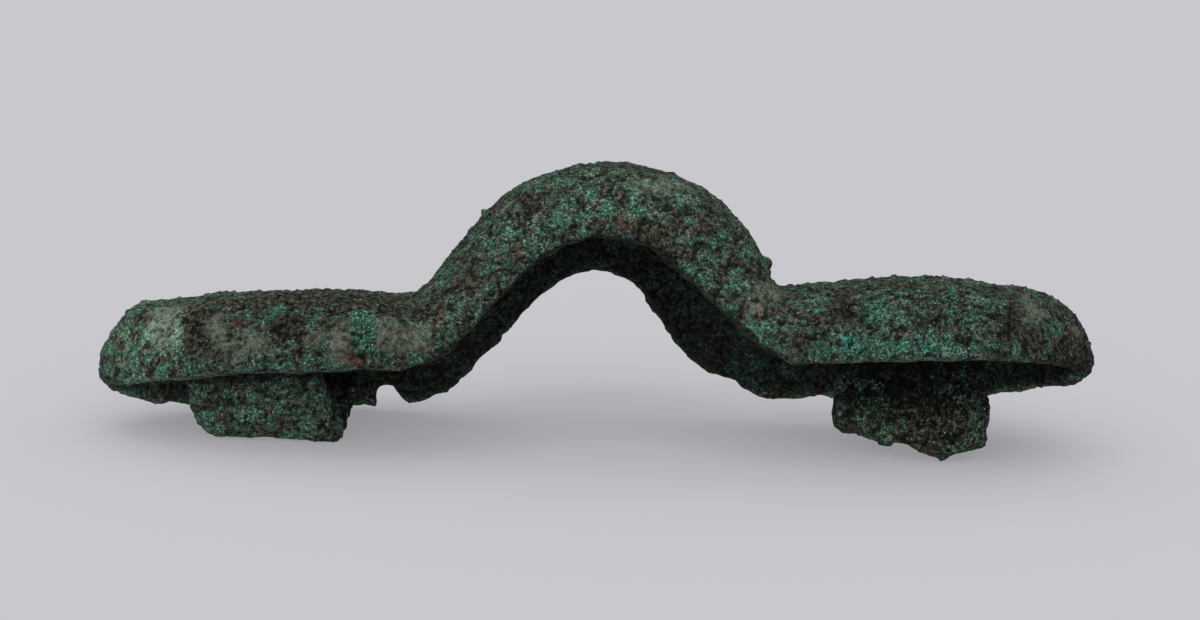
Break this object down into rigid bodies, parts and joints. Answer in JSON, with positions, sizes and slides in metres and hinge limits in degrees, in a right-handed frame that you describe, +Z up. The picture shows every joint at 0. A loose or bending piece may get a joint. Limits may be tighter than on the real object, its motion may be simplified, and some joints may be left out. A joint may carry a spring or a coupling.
{
  "type": "fibula brooch",
  "caption": "Ancient cast copper-alloy bow brooch with round-ended hollow plates each side of an arched bow, a catch below one and a broken hinge lug below the other.",
  "frame": {"origin": "bottom centre of the bounding box of the brooch as it lies", "axes": "+X along the brooch from the catch plate to the hinge plate, +Z up from the surface it lies on"},
  "size_m": [0.06, 0.0196, 0.0174],
  "materials": {
    "corroded_bronze": "matt, granular dark green patina with lighter green and grey patches"
  },
  "bodies": {
    "root": {"brooch": "corroded_bronze"}
  },
  "joints": []
}
